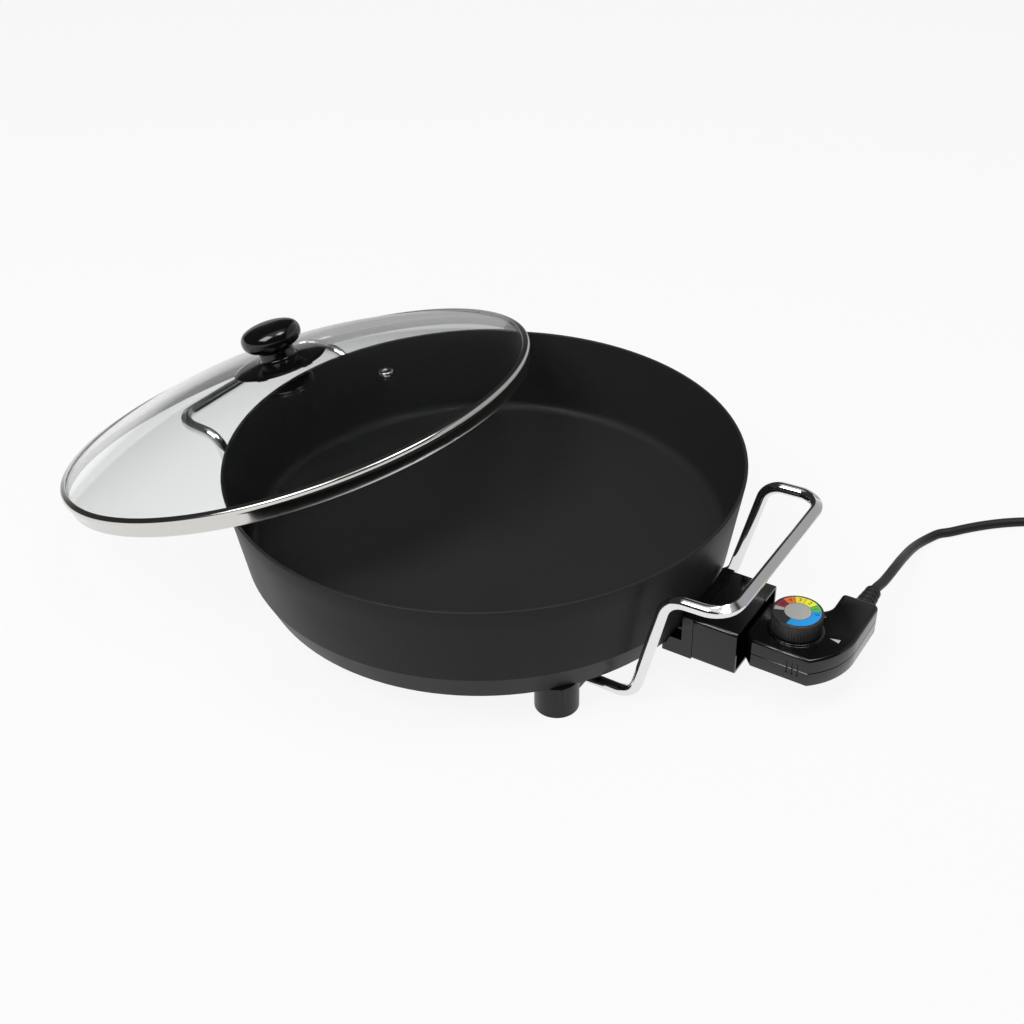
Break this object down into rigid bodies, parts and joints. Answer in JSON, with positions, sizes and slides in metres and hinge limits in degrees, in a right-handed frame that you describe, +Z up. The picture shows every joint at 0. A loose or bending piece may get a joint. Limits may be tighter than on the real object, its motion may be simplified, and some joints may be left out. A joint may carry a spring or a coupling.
{
  "type": "electric skillet",
  "caption": "Round deep electric skillet on four feet with two wire handles, a loose domed glass lid resting against one handle, and a plug-in dial control with its cord.",
  "frame": {"origin": "centre of the cooking floor's upper face", "axes": "+X out through the connector guard and the control, +Y towards the side where the cord leaves the control, +Z up"},
  "size_m": [0.7889, 0.4589, 0.1557],
  "materials": {
    "black_coat": "matte black non-stick coating on cast aluminium",
    "black_plastic": "gloss black phenolic",
    "chrome_wire": "bright chrome plate",
    "steel": "stainless sheet",
    "zinc_steel": "zinc-plated",
    "sheath": "oxidised steel sheath",
    "glass": "clear tempered glass",
    "ceramic": "matte ceramic",
    "brass": "satin",
    "lead": "glass-braid insulation",
    "lens": "red lamp lens",
    "lamp": "neon lamp body",
    "dial_print": "printed scale",
    "pointer": "grey print",
    "soft_pvc": "soft matte PVC",
    "tie": "matte strap"
  },
  "bodies": {
    "pan": {"pan_body": "black_coat", "heating_element": "sheath", "element_clamps": "zinc_steel", "contact_pins": "chrome_wire", "pin_insulators": "ceramic", "guard_bracket": "black_plastic", "guard_sleeve": "black_plastic", "guard_screws": "zinc_steel", "earth_strip": "zinc_steel", "foot_right_front": "black_plastic", "foot_right_rear": "black_plastic", "foot_left_front": "black_plastic", "foot_left_rear": "black_plastic", "foot_screws": "zinc_steel", "handle_right": "chrome_wire", "handle_left": "chrome_wire"},
    "lid": {"lid_glass": "glass", "lid_rim": "steel", "lid_knob": "black_plastic", "knob_base": "black_plastic", "knob_washer": "steel", "knob_screw": "steel", "vent_eyelet": "steel"},
    "control": {"control_top": "black_plastic", "control_bottom": "black_plastic", "control_screws": "zinc_steel", "probe_tube": "steel", "probe_rod": "ceramic", "female_contacts": "brass", "thermostat_frame": "zinc_steel", "ceramic_stack": "ceramic", "contact_blades": "brass", "control_leads": "lead", "pilot_lamp": "lamp", "lamp_lens": "lens", "pointer_mark": "pointer", "strain_relief": "soft_pvc", "cord_free": "soft_pvc", "cord_coil": "soft_pvc", "cord_tail": "soft_pvc", "cord_tie": "tie", "plug_body": "soft_pvc", "plug_pins": "chrome_wire", "plug_earth_clips": "brass"},
    "dial": {"dial_knob": "black_plastic", "dial_face": "dial_print", "dial_shaft": "brass"}
  },
  "joints": [
    {"name": "lid_lift", "type": "slide", "parent": "pan", "child": "lid", "axis": [0, 0, 1], "range_m": [0, 0.15]},
    {"name": "control_pull", "type": "slide", "parent": "pan", "child": "control", "axis": [1, 0, 0], "range_m": [0, 0.08]},
    {"name": "dial_turn", "type": "hinge", "parent": "control", "child": "dial", "pos_m": [0.2355, 0, 0.01], "axis": [0, 0, 1], "range_deg": [-178, 0]}
  ]
}
